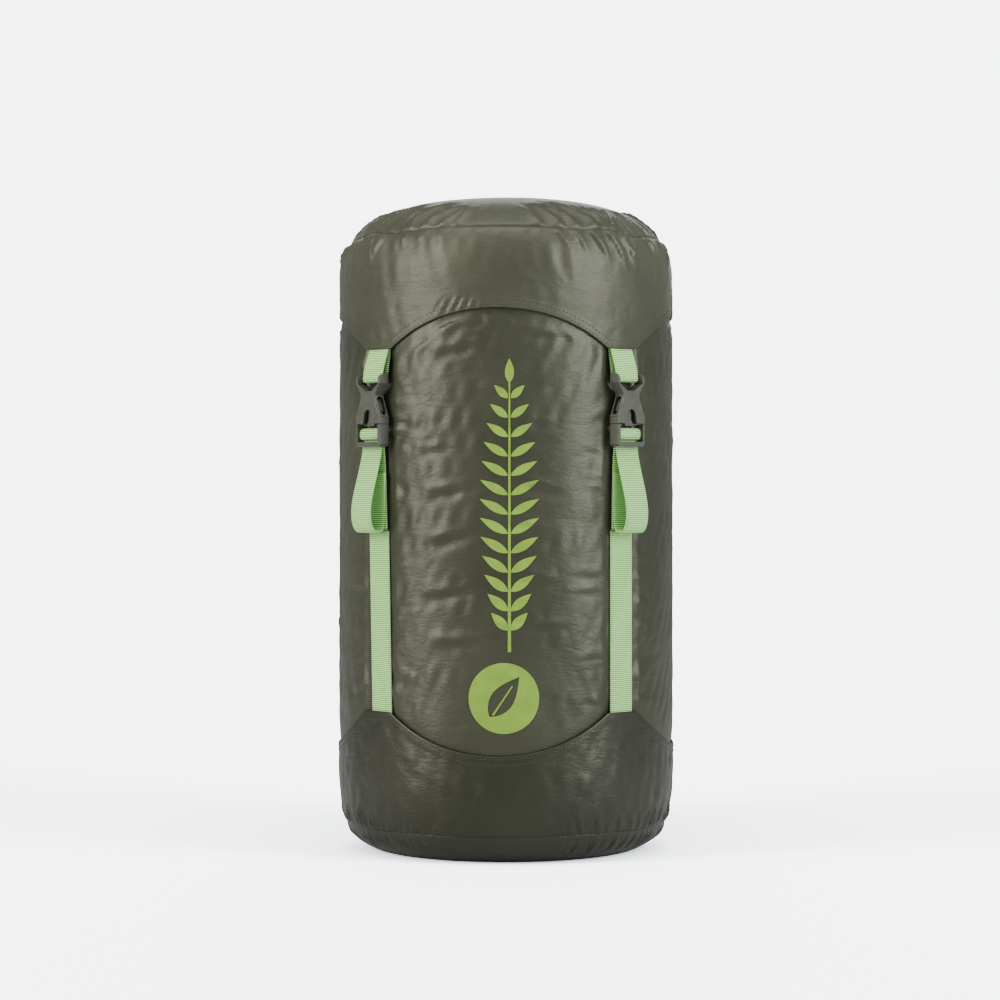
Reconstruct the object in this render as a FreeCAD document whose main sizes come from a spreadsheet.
"""Compression sack: a stuffed round fabric sack under a cap lid, drawn together by four webbing straps.

Frame: millimetres, origin at the centre of the base, +Z up, printed front towards -Y, +X to the right.
The four strap sets stand at 45 degrees between the axes; each is drawn on the +X side and turned round Z.
"""
import FreeCAD, Part
import math
import os
import re

import Sketcher
from FreeCAD import Placement, Rotation, Vector

# Driving dimensions in millimetres. Radii of fabric layers are outer radii.
SIZES = {
    "cloth": 0.8,
    "lid_cloth": 1.0,
    "panel_cloth": 1.2,
    "layer_gap": 0.3,
    "tape": 0.6,
    "tape_width": 5.2,
    "tape_inset": 2.8,
    "base_flat_radius": 88.0,
    "base_seam_radius": 109.0,
    "base_seam_height": 18.4,
    "base_corner_radius": 20.0,
    "sack_radius": 112.4,
    "sack_neck_radius": 110.4,
    "sack_full_height": 62.0,
    "foot_rise": 24.0,
    "foot_draw": 1.9,
    "neck_low": 296.0,
    "neck_high": 312.0,
    "collar_seam_height": 384.0,
    "cap_radius": 115.1,
    "cap_tab_height": 98.5,
    "cap_arc_height": 71.5,
    "scallop_half_width": 72.0,
    "lid_radius": 114.6,
    "lid_tab_height": 337.5,
    "lid_arc_height": 363.0,
    "lid_shoulder_height": 398.0,
    "shoulder_bend": 22.0,
    "lid_seam_radius": 107.0,
    "lid_seam_height": 416.8,
    "lid_brow_radius": 80.0,
    "lid_brow_height": 435.8,
    "brow_bend": 60.0,
    "top_height": 447.0,
    "load_top": 412.0,
    "gather_radius": 64.8,
    "collar_mouth_radius": 27.0,
    "collar_mouth_height": 427.0,
    "hem_radius": 24.0,
    "hem_tube": 3.6,
    "hem_wall": 1.0,
    "hem_height": 431.5,
    "cord_half": 1.2,
    "lock_reach": 44.0,
    "lock_half": 6.5,
    "lock_length": 20.0,
    "lock_bore_half": 4.6,
    "lock_bore_depth": 17.0,
    "button_half": 4.4,
    "button_length": 19.0,
    "button_proud": 5.0,
    "spring_wire": 0.6,
    "spring_half": 3.4,
    "spring_pitch": 1.1,
    "web_width": 20.0,
    "web": 1.15,
    "web_inner": 112.6,
    "strap_low": 84.0,
    "strap_split": 218.0,
    "strap_split_gap": 0.5,
    "hanger_inner": 110.6,
    "hanger_top": 362.0,
    "buckle_radius": 119.0,
    "buckle_depth": 8.4,
    "buckle_half_width": 12.4,
    "slot_half_width": 10.3,
    "socket_rounding": 0.55,
    "plug_rounding": 0.7,
    "plug_corner": 2.2,
    "socket_low": 288.2,
    "socket_shoulder": 293.5,
    "side_hollow": 26.0,
    "socket_waist": 305.5,
    "waist_half_width": 7.4,
    "horn_half_width": 12.0,
    "socket_top": 321.5,
    "ear_round": 6.6,
    "notch_low": 309.8,
    "thumb_half": 3.4,
    "thumb_rise": 6.5,
    "bar_radius": 116.8,
    "bar_height": 318.0,
    "bar_half": 1.6,
    "cavity_depth": 5.2,
    "window_half": 2.4,
    "window_low": 296.0,
    "window_high": 304.0,
    "plug_low": 273.0,
    "plug_top": 287.8,
    "end_bar_high": 276.3,
    "mid_bar_low": 279.1,
    "mid_bar_high": 284.0,
    "tongue_half": 2.2,
    "tongue_root_half": 3.6,
    "tongue_depth": 2.6,
    "tongue_top": 299.0,
    "prong_root": 289.8,
    "prong_depth": 3.6,
    "prong_half": 9.0,
    "prong_length": 14.8,
    "barb_rise": 7.0,
    "loop_out": 126.6,
    "loop_low": 216.2,
    "loop_bend": 9.0,
    "fold_bend": 4.2,
}
CORNERS = {"front_right": -45.0, "back_right": 45.0, "back_left": 135.0, "front_left": -135.0}

doc = FreeCAD.newDocument("CompressionSack")
sheet = doc.addObject("Spreadsheet::Sheet", "Sizes")
for row, (alias, size) in enumerate(SIZES.items(), start=1):
    sheet.set(f"A{row}", alias)
    sheet.set(f"B{row}", str(size))
    sheet.setAlias(f"B{row}", alias)
doc.recompute()

subparts = []


# ---------------------------------------------------------------- helpers

def bound(text):
    """An expression in sheet aliases, with each alias pointing at its cell."""
    return re.sub(r"[a-z][a-z_]*", lambda word: f"Sizes.{word[0]}" if word[0] in SIZES else word[0], text)


def amount(text):
    """The present value of an expression in sheet aliases."""
    return float(sheet.evalExpression(bound(text)))


def new_body(label, turn=0.0):
    body = doc.addObject("PartDesign::Body", label)
    body.Label = label
    body.Placement = Placement(Vector(), Rotation(Vector(0, 0, 1), turn))
    subparts.append(body)
    return body


def new_sketch(body, plane, offset="0"):
    """A sketch on one of the body's own origin planes, moved along its normal by offset."""
    sketch = body.newObject("Sketcher::SketchObject", f"{body.Name}_sketch")
    support = next(feature for feature in body.Origin.OriginFeatures if feature.Role == plane)
    sketch.AttachmentSupport = (support, [""])
    sketch.MapMode = "FlatFace"
    if offset != "0":
        sketch.setExpression(".AttachmentOffset.Base.z", bound(offset))
    return sketch


def add_segment(sketch, start, end):
    """A line, or an arc when start carries a radius and a side (+1 bulges left of travel, -1 right)."""
    first = Vector(amount(start[0]), amount(start[1]), 0)
    last = Vector(amount(end[0]), amount(end[1]), 0)
    if len(start) == 2:
        return sketch.addGeometry(Part.LineSegment(first, last), False), 1, 2
    radius, side = amount(start[2]), start[3]
    chord = last - first
    middle = (first + last) * 0.5
    left = Vector(-chord.y, chord.x, 0).normalize()
    centre = middle - left * side * math.sqrt(max(radius ** 2 - (chord.Length / 2) ** 2, 0.0))
    ends = (last, first) if side > 0 else (first, last)
    angles = [math.atan2(point.y - centre.y, point.x - centre.x) for point in ends]
    circle = Part.Circle(centre, Vector(0, 0, 1), radius)
    index = sketch.addGeometry(Part.ArcOfCircle(circle, angles[0], angles[1]), False)
    bind(sketch, Sketcher.Constraint("Radius", index, radius), start[2])
    return (index, 2, 1) if side > 0 else (index, 1, 2)


def bind(sketch, constraint, text):
    index = sketch.addConstraint(constraint)
    sketch.renameConstraint(index, f"size_{index}")
    sketch.setExpression(f"Constraints.size_{index}", bound(text))


def pin_point(sketch, geometry, end, point):
    """Tie a point to the sketch origin by its two bound distances."""
    for kind, axis, text in (("DistanceX", -2, point[0]), ("DistanceY", -1, point[1])):
        if text == "0":
            sketch.addConstraint(Sketcher.Constraint("PointOnObject", geometry, end, axis))
        else:
            bind(sketch, Sketcher.Constraint(kind, -1, 1, geometry, end, amount(text)), text)


def outline(sketch, points):
    """A closed outline; each point is (x, y) or (x, y, radius, side) when an arc leaves it."""
    segments = [add_segment(sketch, point, points[(i + 1) % len(points)]) for i, point in enumerate(points)]
    for i, (geometry, start, end) in enumerate(segments):
        following = segments[(i + 1) % len(segments)]
        sketch.addConstraint(Sketcher.Constraint("Coincident", geometry, end, following[0], following[1]))
        pin_point(sketch, geometry, start, points[i])
    return sketch


def circle(sketch, centre, radius):
    index = sketch.addGeometry(
        Part.Circle(Vector(amount(centre[0]), amount(centre[1]), 0), Vector(0, 0, 1), amount(radius)), False)
    bind(sketch, Sketcher.Constraint("Radius", index, amount(radius)), radius)
    pin_point(sketch, index, 3, centre)
    return sketch


def both_sides(right):
    """The whole of an outline that is symmetric about the sketch's upright axis, from its right side."""
    left = []
    for i in range(len(right) - 1, -1, -1):
        arc = right[i - 1][2:] if i > 0 else ()
        left.append((f"-({right[i][0]})", right[i][1], *arc))
    return right + left


def revolve(body, points):
    """Turn an outline of (radius, height) points round Z."""
    sketch = outline(new_sketch(body, "XZ_Plane"), points)
    feature = body.newObject("PartDesign::Revolution", f"{body.Name}_turned")
    feature.Profile = sketch
    feature.ReferenceAxis = (sketch, ["V_Axis"])
    feature.Angle = 360.0
    return feature


def shell(body, outer, thickness):
    """A turned fabric wall: the outer profile, and the same profile moved inwards by thickness."""
    inner = []
    for i in range(len(outer) - 1, -1, -1):
        arc = outer[i - 1][2:] if i > 0 else ()
        flipped = (f"{arc[0]} - {thickness}", -arc[1]) if arc else ()
        inner.append((f"{outer[i][0]} - {thickness}", outer[i][1], *flipped))
    return revolve(body, outer + inner)


def pad(body, sketch, depth):
    feature = body.newObject("PartDesign::Pad", f"{body.Name}_pad")
    feature.Profile = sketch
    feature.SideType = "Symmetric"
    feature.setExpression("Length", bound(depth))
    return feature


def pocket(body, sketch, depth, one_way=None):
    """Cut both ways from the sketch, or only along (+1) or against (-1) its plane's normal."""
    feature = body.newObject("PartDesign::Pocket", f"{body.Name}_pocket")
    feature.Profile = sketch
    feature.SideType = "One side" if one_way else "Symmetric"
    feature.Reversed = one_way == 1
    feature.setExpression("Length", bound(depth))
    return feature


def round_edges(body, base, radius, chosen):
    """Fillet the edges of the base feature that chosen accepts."""
    doc.recompute()
    names = [f"Edge{i}" for i, edge in enumerate(base.Shape.Edges, start=1) if chosen(edge.BoundBox)]
    feature = body.newObject("PartDesign::Fillet", f"{body.Name}_rounding")
    feature.Base = (base, names)
    feature.setExpression("Radius", bound(radius))
    return feature


def on_faces(*depths):
    """Accept edges that lie in one of the planes at these distances from the axis."""
    return lambda box: any(abs(box.XMin - d) < 0.01 and abs(box.XMax - d) < 0.01 for d in depths)


def scallop(body, tab, arc):
    """Cut the four arcs between the tabs out of a wall's edge; the cut opens away from the wall."""
    outward = "1" if amount(tab) > amount(arc) else "-1"
    beyond = f"{tab} + {outward} * 2"
    rise = f"abs({tab} - {arc})"
    radius = f"(scallop_half_width ^ 2 + ({rise}) ^ 2) / (2 * {rise})"
    points = [
        ("scallop_half_width", tab, radius, int(outward)),
        ("-scallop_half_width", tab),
        ("-scallop_half_width", beyond),
        ("scallop_half_width", beyond),
    ]
    for plane in ("XZ_Plane", "YZ_Plane"):
        pocket(body, outline(new_sketch(body, plane), points), "3 * cap_radius")


# ---------------------------------------------------------------- sack body

def packed_load():
    """What the sack is stuffed with, as one solid just inside the fabric."""
    inside = "cloth + layer_gap"
    revolve(new_body("packed_load"), [
        ("0", "panel_cloth + layer_gap"),
        ("base_flat_radius - 3", "panel_cloth + layer_gap"),
        ("base_seam_radius - tape_inset - 4", "base_seam_height + 0.6"),
        (f"sack_radius - foot_draw - ({inside})", "sack_full_height - foot_rise"),
        (f"sack_radius - ({inside})", "sack_full_height"),
        (f"sack_radius - ({inside})", "neck_low"),
        (f"sack_neck_radius - ({inside})", "neck_high"),
        (f"sack_neck_radius - ({inside})", "collar_seam_height - 4"),
        ("gather_radius", "load_top"),
        ("0", "load_top"),
    ])


def sack_body():
    """The tube of fabric between the base seam and the collar, narrower where the lid slips over it."""
    shell(new_body("sack_body"), [
        ("base_seam_radius - 2 * cloth", "base_seam_height + 2"),
        ("sack_radius - foot_draw", "sack_full_height - foot_rise"),
        ("sack_radius", "sack_full_height"),
        ("sack_radius", "neck_low"),
        ("sack_neck_radius", "neck_high"),
        ("sack_neck_radius", "collar_seam_height"),
    ], "cloth")


def base_panel():
    """The round base, flat where it stands and turned up to the base seam."""
    revolve(new_body("base_panel"), [
        ("0", "0"),
        ("base_flat_radius", "0", "base_corner_radius", -1),
        ("base_seam_radius", "base_seam_height"),
        ("base_seam_radius - panel_cloth", "base_seam_height", "base_corner_radius - panel_cloth", 1),
        ("base_flat_radius", "panel_cloth"),
        ("0", "panel_cloth"),
    ])


def base_cap():
    """The outer layer round the foot, rising to a tab over each strap's sewn end."""
    body = new_body("base_cap")
    shell(body, [
        ("base_seam_radius + 0.4", "base_seam_height + 0.4"),
        ("cap_radius - 1.5", "sack_full_height - foot_rise"),
        ("cap_radius", "sack_full_height"),
        ("cap_radius", "cap_tab_height"),
    ], "cloth")
    scallop(body, "cap_tab_height", "cap_arc_height")


def base_seam_tape():
    """Binding tape inside the base seam."""
    revolve(new_body("base_seam_tape"), [
        ("base_seam_radius - tape_inset - tape", "base_seam_height + 2.5"),
        ("base_seam_radius - tape_inset", "base_seam_height + 2.5"),
        ("base_seam_radius - tape_inset", "base_seam_height + 2.5 + tape_width"),
        ("base_seam_radius - tape_inset - tape", "base_seam_height + 2.5 + tape_width"),
    ])


# ---------------------------------------------------------------- mouth

def mouth_collar():
    """The gathered top of the sack, drawn in from the collar seam to the mouth."""
    shell(new_body("mouth_collar"), [
        ("sack_neck_radius", "collar_seam_height + layer_gap"),
        ("sack_neck_radius - 1.8", "collar_seam_height + 12"),
        ("sack_neck_radius - 12", "collar_seam_height + 24"),
        ("gather_radius", "collar_mouth_height - 9"),
        ("collar_mouth_radius", "collar_mouth_height"),
    ], "2 * cloth")


def mouth_hem():
    """The rolled hem round the mouth, a hollow ring with a gap at the front where the cord comes out."""
    body = new_body("mouth_hem")
    sketch = new_sketch(body, "XZ_Plane")
    circle(sketch, ("hem_radius", "hem_height"), "hem_tube")
    circle(sketch, ("hem_radius", "hem_height"), "hem_tube - hem_wall")
    ring = body.newObject("PartDesign::Revolution", "hem_ring")
    ring.Profile = sketch
    ring.ReferenceAxis = (sketch, ["V_Axis"])
    ring.Angle = 360.0
    gap = outline(new_sketch(body, "XZ_Plane"), [
        ("-4 * cord_half", "hem_height - 2 * cord_half"),
        ("4 * cord_half", "hem_height - 2 * cord_half"),
        ("4 * cord_half", "hem_height + 2 * cord_half"),
        ("-4 * cord_half", "hem_height + 2 * cord_half"),
    ])
    pocket(body, gap, "2 * hem_radius", one_way=1)


def drawcord():
    """The cord in the hem: a ring, two ends side by side through the lock, and a knot behind it."""
    ring = doc.addObject("Part::Torus", "cord_ring")
    ring.setExpression("Radius1", bound("hem_radius"))
    ring.setExpression("Radius2", bound("cord_half"))
    ring.Placement.Base = Vector(0, 0, amount("hem_height"))
    pieces = [ring]
    for side in (-1, 1):
        run = doc.addObject("Part::Cylinder", "cord_run")
        run.setExpression("Radius", bound("cord_half"))
        run.setExpression("Height", bound("lock_reach + 14 - hem_radius"))
        start = Vector(side * (amount("cord_half") + 0.05), -amount("hem_radius"), amount("hem_height"))
        run.Placement = Placement(start, Rotation(Vector(1, 0, 0), 90))
        pieces.append(run)
    knot = doc.addObject("Part::Sphere", "cord_knot")
    knot.setExpression("Radius", bound("3 * cord_half"))
    knot.Placement.Base = Vector(0, -amount("lock_reach + 14"), amount("hem_height"))
    pieces.append(knot)
    fused = doc.addObject("Part::MultiFuse", "drawcord")
    fused.Label = "drawcord"
    fused.Shapes = pieces
    subparts.append(fused)


def lock_sketch(body, radius, offset="0"):
    return circle(new_sketch(body, "YZ_Plane", offset), ("-lock_reach", "hem_height"), radius)


def cord_lock_barrel():
    """The cord lock's body: a round barrel along X, bored for the button, with a cross slot for the cords."""
    body = new_body("cord_lock_barrel")
    pad(body, lock_sketch(body, "lock_half"), "lock_length")
    pocket(body, lock_sketch(body, "lock_bore_half", "lock_length / 2 - lock_bore_depth"),
           "lock_bore_depth", one_way=1)
    cross_slot(body, "4 * lock_half")


def cross_slot(body, reach):
    """The slot that the two cords pass through."""
    slot = outline(new_sketch(body, "XZ_Plane", "lock_reach"), [
        ("-2.5 * cord_half", "hem_height - 1.5 * cord_half"),
        ("2.5 * cord_half", "hem_height - 1.5 * cord_half"),
        ("2.5 * cord_half", "hem_height + 1.5 * cord_half"),
        ("-2.5 * cord_half", "hem_height + 1.5 * cord_half"),
    ])
    pocket(body, slot, reach)


def cord_lock_button():
    """The sprung button, with a slot as much longer than the cords as its travel."""
    body = new_body("cord_lock_button")
    middle = "lock_length / 2 + button_proud - button_length / 2"
    pad(body, lock_sketch(body, "button_half", middle), "button_length")
    slot = outline(new_sketch(body, "XZ_Plane", "lock_reach"), [
        ("-2.2 * cord_half", "hem_height - 1.6 * cord_half"),
        ("5 * cord_half", "hem_height - 1.6 * cord_half"),
        ("5 * cord_half", "hem_height + 1.6 * cord_half"),
        ("-2.2 * cord_half", "hem_height + 1.6 * cord_half"),
    ])
    pocket(body, slot, "4 * lock_half")


def cord_lock_spring():
    """The spring between the button and the bore's blind end: wire on a helix along X."""
    wire = Part.makeHelix(amount("spring_pitch"), amount("2 * spring_pitch"), amount("spring_half"))
    section = Part.Wire([Part.makeCircle(amount("spring_wire") / 2, Vector(amount("spring_half"), 0, 0),
                                         Vector(0, 1, 0))])
    swept = Part.Wire(wire).makePipeShell([section], True, True)
    spring = doc.addObject("Part::Feature", "cord_lock_spring")
    spring.Label = "cord_lock_spring"
    spring.Shape = swept
    bottom = amount("lock_length / 2 - lock_bore_depth + spring_wire / 2 + 0.05")
    spring.Placement = Placement(Vector(bottom, -amount("lock_reach"), amount("hem_height")),
                                 Rotation(Vector(0, 1, 0), 90))
    subparts.append(spring)


# ---------------------------------------------------------------- lid

def lid_skirt():
    """The lid's side wall, with a tab at each strap and an arc between tabs."""
    body = new_body("lid_skirt")
    shell(body, [
        ("lid_radius", "lid_tab_height"),
        ("lid_radius", "lid_shoulder_height", "shoulder_bend", -1),
        ("lid_seam_radius", "lid_seam_height - 0.4"),
    ], "lid_cloth")
    scallop(body, "lid_tab_height", "lid_arc_height")


def lid_panel():
    """The domed round top: a rounded brow above the seam, then a shallow dome centred on the axis."""
    rise = "(top_height - lid_brow_height)"
    dome = f"(lid_brow_radius ^ 2 + {rise} ^ 2) / (2 * {rise})"
    inner_brow = "(lid_brow_radius - 0.3)"
    inner_dome = f"({inner_brow} ^ 2 + {rise} ^ 2) / (2 * {rise})"
    revolve(new_body("lid_panel"), [
        ("lid_seam_radius", "lid_seam_height", "brow_bend", -1),
        ("lid_brow_radius", "lid_brow_height", dome, -1),
        ("0", "top_height"),
        ("0", "top_height - lid_cloth", inner_dome, 1),
        (inner_brow, "lid_brow_height - lid_cloth", "brow_bend - lid_cloth", 1),
        ("lid_seam_radius - lid_cloth", "lid_seam_height"),
    ])


def lid_seam_tape():
    """Binding tape inside the lid seam."""
    revolve(new_body("lid_seam_tape"), [
        ("lid_seam_radius - tape_inset - tape", "lid_seam_height - 2 - tape_width"),
        ("lid_seam_radius - tape_inset", "lid_seam_height - 2 - tape_width"),
        ("lid_seam_radius - tape_inset", "lid_seam_height - 2"),
        ("lid_seam_radius - tape_inset - tape", "lid_seam_height - 2"),
    ])


# ---------------------------------------------------------------- webbing

def webbing(label, turn, outlines):
    """Webbing seen from its edge: one or more closed outlines of (radius, height), as wide as the tape."""
    body = new_body(label, turn)
    sketch = new_sketch(body, "XZ_Plane")
    for points in outlines:
        outline(sketch, points)
    pad(body, sketch, "web_width")
    return body


def lower_strap(corner, turn):
    """The load strap, flat on the sack from under the base tab up to the adjuster's own webbing."""
    webbing(f"lower_strap_{corner}", turn, [[
        ("web_inner", "strap_low"),
        ("web_inner + web", "strap_low"),
        ("web_inner + web", "strap_split"),
        ("web_inner", "strap_split"),
    ]])


def upper_strap(corner, turn):
    """The hanger: sewn double under the lid tab, then open round the socket's bar."""
    outer = "bar_half + 0.1 + web"
    webbing(f"upper_strap_{corner}", turn, [
        [
            ("hanger_inner", "hanger_top"),
            ("hanger_inner", "lid_tab_height - 2"),
            (f"bar_radius - ({outer})", "bar_height + 0.6", f"{outer} + 0.05", -1),
            ("bar_radius", f"bar_height - ({outer})", f"{outer} + 0.05", -1),
            (f"bar_radius + {outer}", "bar_height + 0.6"),
            ("hanger_inner + 2 * web", "lid_tab_height"),
            ("hanger_inner + 2 * web", "hanger_top"),
        ],
        [
            ("hanger_inner + 1.2 * web", "lid_tab_height - 3"),
            ("bar_radius - bar_half - 0.1", "bar_height + 0.6", "bar_half + 0.2", -1),
            ("bar_radius", "bar_height - bar_half - 0.1", "bar_half + 0.2", -1),
            ("bar_radius + bar_half + 0.1", "bar_height + 0.6"),
        ],
    ])


def adjuster_strap(corner, turn):
    """The upper webbing: behind the end bar, over the middle bar, down again, and out in a pull loop."""
    back = "buckle_radius - buckle_depth / 2 + 0.1"
    second = f"{back} + web + 0.15"
    front = "buckle_radius + 1.1"
    webbing(f"adjuster_strap_{corner}", turn, [[
        ("web_inner", "strap_split + strap_split_gap"),
        ("web_inner + web", "strap_split + strap_split_gap"),
        ("web_inner + web", "plug_low - 12"),
        (f"{back} + web", "plug_low - 1"),
        (f"{back} + web", "mid_bar_high + 0.2"),
        (front, "mid_bar_high + 0.2"),
        (front, "mid_bar_low - 0.2"),
        (second, "mid_bar_low - 0.2"),
        (second, "plug_low - 3"),
        ("web_inner + 2 * web + 0.3", "plug_low - 12"),
        ("web_inner + web + 0.15", "plug_low - 16"),
        ("web_inner + web + 0.15", "loop_low + 4", "fold_bend", -1),
        ("web_inner + web + 4.15", "loop_low"),
        ("loop_out - 5", "loop_low", "loop_bend", -1),
        ("loop_out + web", "loop_low + 14"),
        (f"{second} + web + 3", "plug_low - 16"),
        (f"{second} + web", "plug_low - 2"),
        (f"{second} + web", "mid_bar_low - 1.5"),
        (f"{front} + web", "mid_bar_low - 1.5"),
        (f"{front} + web", "mid_bar_high + 1.5"),
        (back, "mid_bar_high + 1.5"),
        (back, "plug_low - 0.5"),
        ("web_inner", "plug_low - 11"),
    ], [
        ("web_inner + 2 * web + 0.15", "loop_low + 5", "fold_bend - 1", -1),
        ("web_inner + 2 * web + 3", "loop_low + web"),
        ("loop_out - 5", "loop_low + web", "loop_bend - 1", -1),
        ("loop_out", "loop_low + 14"),
        (f"{second} + 2", "plug_low - 18"),
        ("web_inner + 2 * web + 0.15", "plug_low - 22"),
    ]])


# ---------------------------------------------------------------- buckle

def socket(corner, turn):
    """The buckle's female half: waisted shell, side windows, horned top with a bar for the hanger."""
    body = new_body(f"socket_{corner}", turn)
    plan = both_sides([
        ("buckle_half_width", "socket_low"),
        ("buckle_half_width", "socket_shoulder", "side_hollow", 1),
        ("waist_half_width", "socket_waist"),
        ("waist_half_width", "socket_waist + 2"),
        ("horn_half_width", "bar_height - 3"),
        ("horn_half_width", "socket_top"),
        ("slot_half_width", "socket_top"),
        ("slot_half_width", "bar_height - 3.5"),
        ("thumb_half", "notch_low"),
    ])
    block = pad(body, outline(new_sketch(body, "YZ_Plane", "buckle_radius"), plan), "buckle_depth")
    half = amount("buckle_depth / 2")
    middle = amount("buckle_radius")
    round_edges(body, block, "socket_rounding", on_faces(middle - half, middle + half))
    cavity = both_sides([
        ("buckle_half_width - 1.4", "socket_low - 1"),
        ("buckle_half_width - 1.4", "socket_shoulder - 0.5"),
        ("waist_half_width - 1.5", "socket_waist - 1"),
        ("waist_half_width - 1.5", "socket_waist + 1.5"),
    ])
    pocket(body, outline(new_sketch(body, "YZ_Plane", "buckle_radius"), cavity), "cavity_depth")
    window = outline(new_sketch(body, "XZ_Plane"), [
        ("buckle_radius + window_half", "window_low"),
        ("buckle_radius + window_half", "window_high", "window_half + 0.02", -1),
        ("buckle_radius - window_half", "window_high"),
        ("buckle_radius - window_half", "window_low", "window_half + 0.02", -1),
    ])
    pocket(body, window, "4 * buckle_half_width")
    notch = outline(new_sketch(body, "YZ_Plane", "buckle_radius"), [
        ("thumb_half + 1.6", "socket_low - 1"),
        ("thumb_half", "socket_low + thumb_rise", "thumb_half + 0.05", -1),
        ("-thumb_half", "socket_low + thumb_rise"),
        ("-thumb_half - 1.6", "socket_low - 1"),
    ])
    pocket(body, notch, "buckle_depth", one_way=1)
    beyond_ear = outline(new_sketch(body, "XZ_Plane"), [
        ("buckle_radius + buckle_depth / 2 + 1", "socket_top - ear_round"),
        ("buckle_radius + buckle_depth / 2 + 1", "socket_top + 1"),
        ("buckle_radius - 2", "socket_top + 1"),
        ("buckle_radius - 2", "socket_top", "ear_round + 0.4", 1),
    ])
    pocket(body, beyond_ear, "4 * buckle_half_width")
    bar = circle(new_sketch(body, "XZ_Plane"), ("bar_radius", "bar_height"), "bar_half")
    pad(body, bar, "2 * horn_half_width - 1")


def plug(corner, turn):
    """The buckle's male half: a frame with end bar and middle bar, and the tongue between the prongs."""
    body = new_body(f"plug_{corner}", turn)
    frame = both_sides([
        ("buckle_half_width", "plug_low"),
        ("buckle_half_width", "plug_top"),
    ])
    block = pad(body, outline(new_sketch(body, "YZ_Plane", "buckle_radius"), frame), "buckle_depth")
    half = amount("buckle_depth / 2")
    middle = amount("buckle_radius")
    low = amount("plug_low")
    across_foot = lambda box: box.XLength > half and abs(box.ZMin - low) < 0.01
    corners = round_edges(body, block, "plug_corner", across_foot)
    round_edges(body, corners, "plug_rounding", on_faces(middle - half, middle + half))
    opening = both_sides([
        ("slot_half_width", "end_bar_high"),
        ("slot_half_width", "plug_top - 1.2"),
    ])
    pocket(body, outline(new_sketch(body, "YZ_Plane", "buckle_radius"), opening), "2 * buckle_depth")
    recess = both_sides([
        ("slot_half_width", "end_bar_high + 3"),
        ("slot_half_width", "plug_top + 1"),
    ])
    recessed = outline(new_sketch(body, "YZ_Plane", "buckle_radius - 0.6"), recess)
    pocket(body, recessed, "buckle_depth", one_way=1)
    behind = outline(new_sketch(body, "XZ_Plane"), [
        ("buckle_radius - buckle_depth", "plug_low - 1"),
        ("buckle_radius - 0.9", "plug_low - 1"),
        ("buckle_radius - 0.9", "end_bar_high + 1"),
        ("buckle_radius - buckle_depth", "end_bar_high + 1"),
    ])
    pocket(body, behind, "2 * slot_half_width")
    bar = outline(new_sketch(body, "XZ_Plane"), [
        ("buckle_radius - 1.3", "mid_bar_low"),
        ("buckle_radius + 0.9", "mid_bar_low"),
        ("buckle_radius + 0.9", "mid_bar_high"),
        ("buckle_radius - 1.3", "mid_bar_high"),
    ])
    pad(body, bar, "2 * buckle_half_width - 2")
    tongue = both_sides([
        ("tongue_root_half", "plug_top - 1"),
        ("tongue_root_half", "plug_top + 0.8"),
        ("tongue_half", "plug_top + 3"),
        ("tongue_half", "tongue_top"),
    ])
    pad(body, outline(new_sketch(body, "YZ_Plane", "buckle_radius"), tongue), "tongue_depth")


def prong(corner, turn, side_name, side):
    """One sprung prong with its barb in the socket's side window."""
    body = new_body(f"prong_{corner}_{side_name}", turn)
    points = [
        ("prong_half - 2.2", "prong_root"),
        ("prong_half", "prong_root"),
        ("prong_half - 0.6", "prong_root + barb_rise - 1.4"),
        ("prong_half + 0.1", "prong_root + barb_rise"),
        ("prong_half - 1.8", "prong_root + prong_length - 2.8"),
        ("prong_half - 3.4", "prong_root + prong_length - 0.2"),
        ("prong_half - 4.6", "prong_root + prong_length"),
        ("prong_half - 4.6", "prong_root + prong_length - 2.8"),
        ("prong_half - 2.8", "prong_root + barb_rise - 1"),
    ]
    if side < 0:
        points = [(f"-({across})", height) for across, height in points]
    pad(body, outline(new_sketch(body, "YZ_Plane", "buckle_radius"), points), "prong_depth")


# ---------------------------------------------------------------- assembly

for build in (packed_load, sack_body, base_panel, base_cap, base_seam_tape, mouth_collar, mouth_hem, drawcord,
              cord_lock_barrel, cord_lock_button, cord_lock_spring, lid_skirt, lid_panel, lid_seam_tape):
    build()
for corner, turn in CORNERS.items():
    lower_strap(corner, turn)
    upper_strap(corner, turn)
    adjuster_strap(corner, turn)
    socket(corner, turn)
    plug(corner, turn)
    prong(corner, turn, "left", -1)
    prong(corner, turn, "right", 1)
doc.recompute()

for item in doc.Objects:
    if "Invalid" in item.State or "Error" in item.State:
        raise RuntimeError(f"{item.Label} failed: {item.State} {item.getStatusString()}")
for item in subparts:
    if item.Shape.isNull() or not item.Shape.isValid() or not item.Shape.Solids:
        raise RuntimeError(f"{item.Label} has no valid solid")

os.makedirs("parts", exist_ok=True)
for item in subparts:
    item.Shape.exportStep(f"parts/{item.Label}.step")
    print(f"{item.Label}: {len(item.Shape.Solids)} solid(s), {item.Shape.Volume:.1f} mm3")
